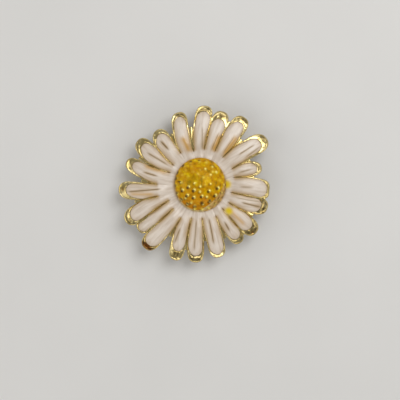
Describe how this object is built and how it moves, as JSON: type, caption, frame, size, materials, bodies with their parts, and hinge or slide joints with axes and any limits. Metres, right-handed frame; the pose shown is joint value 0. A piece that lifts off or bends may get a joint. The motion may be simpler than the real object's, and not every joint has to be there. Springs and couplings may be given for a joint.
{
  "type": "flower brooch",
  "caption": "Daisy brooch of gold-plated cast metal with white enamel petals, a beaded dome under yellow enamel and a bar pin across the back.",
  "frame": {"origin": "on the surface that the brooch lies on, under the middle of its outline", "axes": "+Z out of the flower's face, +X to the right and +Y up as the face is seen in the picture"},
  "size_m": [0.0386, 0.04, 0.0112],
  "materials": {
    "gold_plate": "polished pale gold plate, darker in its hollows",
    "white_enamel": "glossy opaque enamel, brownish where it is thin over a vein",
    "dome_gold": "polished pale gold plate with cast beads",
    "yellow_enamel": "glossy translucent orange-yellow enamel over gold",
    "pin_metal": "plain gold plate, less polished than the face"
  },
  "bodies": {
    "root": {"flower_casting": "gold_plate", "white_enamel": "white_enamel", "centre_dome": "dome_gold", "yellow_enamel": "yellow_enamel", "pin_back": "pin_metal"}
  },
  "joints": []
}
